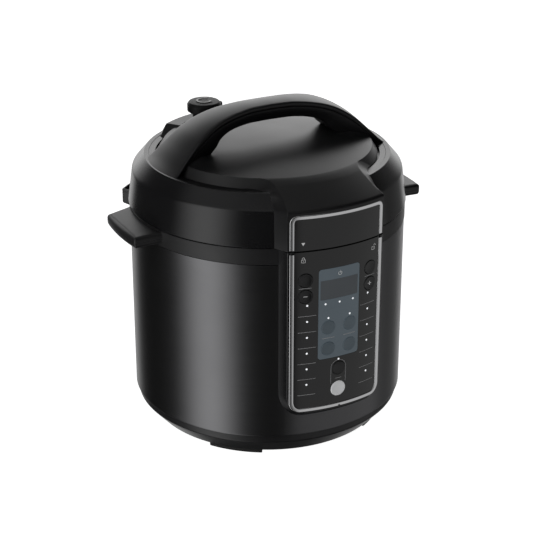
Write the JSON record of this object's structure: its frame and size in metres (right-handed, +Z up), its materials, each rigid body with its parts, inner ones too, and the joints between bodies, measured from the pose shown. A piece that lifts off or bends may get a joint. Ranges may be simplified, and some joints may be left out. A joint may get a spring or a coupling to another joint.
{
  "type": "electric pressure cooker",
  "caption": "Round electric pressure cooker with a dark steel body, a twist-lock lid under a wide arched handle, and a curved front control panel with round keys.",
  "frame": {"origin": "on the pot's axis, on the plane of the feet's undersides", "axes": "+Z up, the control panel faces -Y, the lid handle runs along X"},
  "size_m": [0.3326, 0.3064, 0.34],
  "materials": {
    "base_plastic": "satin moulded",
    "foot_rubber": "matt",
    "fastener_steel": "zinc plated",
    "black_steel": "dark brushed metallic",
    "body_plastic": "satin moulded",
    "panel_housing_plastic": "gloss",
    "panel_gloss": "high gloss",
    "polished_trim": "polished",
    "window_tint": "tinted gloss",
    "screen_black": "gloss",
    "indicator_white": "diffusing",
    "circuit_board": "solder mask",
    "switch_plastic": "moulded",
    "transformer_tape": "taped",
    "relay_plastic": "moulded",
    "pressed_steel": "pressed sheet",
    "cast_aluminium": "machined casting",
    "spring_steel": "drawn wire",
    "inlet_plastic": "moulded",
    "brass": "plated",
    "stainless": "satin",
    "silicone": "translucent matt",
    "lid_plastic": "semi-gloss moulded",
    "handle_plastic": "semi-gloss moulded",
    "handle_underside": "satin moulded",
    "knob_plastic": "satin moulded",
    "float_red": "moulded",
    "button_black": "satin",
    "button_blue": "satin",
    "button_white": "satin"
  },
  "bodies": {
    "cooker_body": {"base_housing": "base_plastic", "feet": "foot_rubber", "base_screws": "fastener_steel", "outer_shell": "black_steel", "upper_ring": "body_plastic", "side_handle_left": "body_plastic", "side_handle_right": "body_plastic", "side_handle_screws": "fastener_steel", "panel_housing": "panel_housing_plastic", "panel_overlay": "panel_gloss", "panel_trim": "polished_trim", "display_window": "window_tint", "display_screen": "screen_black", "indicator_lights": "indicator_white", "control_board": "circuit_board", "board_screws": "fastener_steel", "button_switches": "switch_plastic", "power_board": "circuit_board", "transformer": "transformer_tape", "relay": "relay_plastic", "outer_pot": "pressed_steel", "heating_plate": "cast_aluminium", "sensor_bracket": "pressed_steel", "sensor_spring": "spring_steel", "pressure_switch": "switch_plastic", "power_inlet": "inlet_plastic", "inlet_pins": "brass", "cup_bracket": "body_plastic"},
    "cup": {"condensation_cup": "body_plastic"},
    "cooking_pot": {"inner_pot": "stainless"},
    "sensor": {"thermal_sensor": "cast_aluminium"},
    "seal": {"sealing_ring": "silicone", "seal_rack": "stainless"},
    "lid": {"lid_shell": "lid_plastic", "lid_cover": "lid_plastic", "lid_front_plate": "panel_gloss", "lid_trim": "polished_trim", "handle_upper": "handle_plastic", "handle_lower": "handle_underside", "handle_screws": "fastener_steel", "inner_lid": "stainless", "inner_lid_screws": "fastener_steel", "steam_pipe": "stainless", "steam_shield": "stainless"},
    "knob": {"steam_knob": "knob_plastic"},
    "float": {"float_pin": "float_red", "float_cap": "silicone"},
    "cancel_key": {"cancel_button": "button_black"},
    "minus_key": {"minus_button": "button_black"},
    "start_key": {"start_button": "button_black"},
    "plus_key": {"plus_button": "button_black"},
    "pressure_key": {"pressure_button": "button_blue"},
    "timer_key": {"timer_button": "button_blue"},
    "level_key": {"level_button": "button_blue"},
    "temperature_key": {"temperature_button": "button_blue"},
    "keep_warm_key": {"keep_warm_button": "button_black"},
    "menu_key": {"menu_button": "button_white"}
  },
  "joints": [
    {"name": "lid_lift", "type": "slide", "parent": "cooker_body", "child": "seal", "axis": [0, 0, 1], "range_m": [0, 0.15]},
    {"name": "lid_turn", "type": "hinge", "parent": "seal", "child": "lid", "pos_m": [0, 0, 0.237], "axis": [0, 0, 1], "range_deg": [0, 30]},
    {"name": "knob_turn", "type": "hinge", "parent": "lid", "child": "knob", "pos_m": [-0.026, 0.096, 0.305], "axis": [0, 0, 1], "range_deg": [0, 60]},
    {"name": "float_rise", "type": "slide", "parent": "lid", "child": "float", "axis": [0, 0, 1], "range_m": [0, 0.006]},
    {"name": "pot_spin", "type": "hinge", "parent": "cooker_body", "child": "cooking_pot", "pos_m": [0, 0, 0.0715], "axis": [0, 0, 1], "continuous": true},
    {"name": "sensor_press", "type": "slide", "parent": "cooker_body", "child": "sensor", "axis": [0, 0, -1], "range_m": [0, 0.002], "stiffness_N_per_m": 400, "springref_m": -0.002, "deforming": ["sensor_spring"]},
    {"name": "cup_pull", "type": "slide", "parent": "cooker_body", "child": "cup", "axis": [-0.5548, 0.832, 0], "range_m": [0, 0.03]},
    {"name": "cancel_press", "type": "slide", "parent": "cooker_body", "child": "cancel_key", "axis": [0.2312, 0.9729, 0], "range_m": [0, 0.0008], "stiffness_N_per_m": 500, "springref_m": -0.001},
    {"name": "minus_press", "type": "slide", "parent": "cooker_body", "child": "minus_key", "axis": [0.2312, 0.9729, 0], "range_m": [0, 0.0008], "stiffness_N_per_m": 500, "springref_m": -0.001},
    {"name": "start_press", "type": "slide", "parent": "cooker_body", "child": "start_key", "axis": [-0.2312, 0.9729, 0], "range_m": [0, 0.0008], "stiffness_N_per_m": 500, "springref_m": -0.001},
    {"name": "plus_press", "type": "slide", "parent": "cooker_body", "child": "plus_key", "axis": [-0.2312, 0.9729, 0], "range_m": [0, 0.0008], "stiffness_N_per_m": 500, "springref_m": -0.001},
    {"name": "pressure_press", "type": "slide", "parent": "cooker_body", "child": "pressure_key", "axis": [0.077, 0.997, 0], "range_m": [0, 0.0008], "stiffness_N_per_m": 500, "springref_m": -0.001},
    {"name": "timer_press", "type": "slide", "parent": "cooker_body", "child": "timer_key", "axis": [-0.077, 0.997, 0], "range_m": [0, 0.0008], "stiffness_N_per_m": 500, "springref_m": -0.001},
    {"name": "level_press", "type": "slide", "parent": "cooker_body", "child": "level_key", "axis": [0.077, 0.997, 0], "range_m": [0, 0.0008], "stiffness_N_per_m": 500, "springref_m": -0.001},
    {"name": "temperature_press", "type": "slide", "parent": "cooker_body", "child": "temperature_key", "axis": [-0.077, 0.997, 0], "range_m": [0, 0.0008], "stiffness_N_per_m": 500, "springref_m": -0.001},
    {"name": "keep_warm_press", "type": "slide", "parent": "cooker_body", "child": "keep_warm_key", "axis": [0, 1, 0], "range_m": [0, 0.0008], "stiffness_N_per_m": 500, "springref_m": -0.001},
    {"name": "menu_press", "type": "slide", "parent": "cooker_body", "child": "menu_key", "axis": [0, 1, 0], "range_m": [0, 0.0008], "stiffness_N_per_m": 500, "springref_m": -0.001}
  ]
}
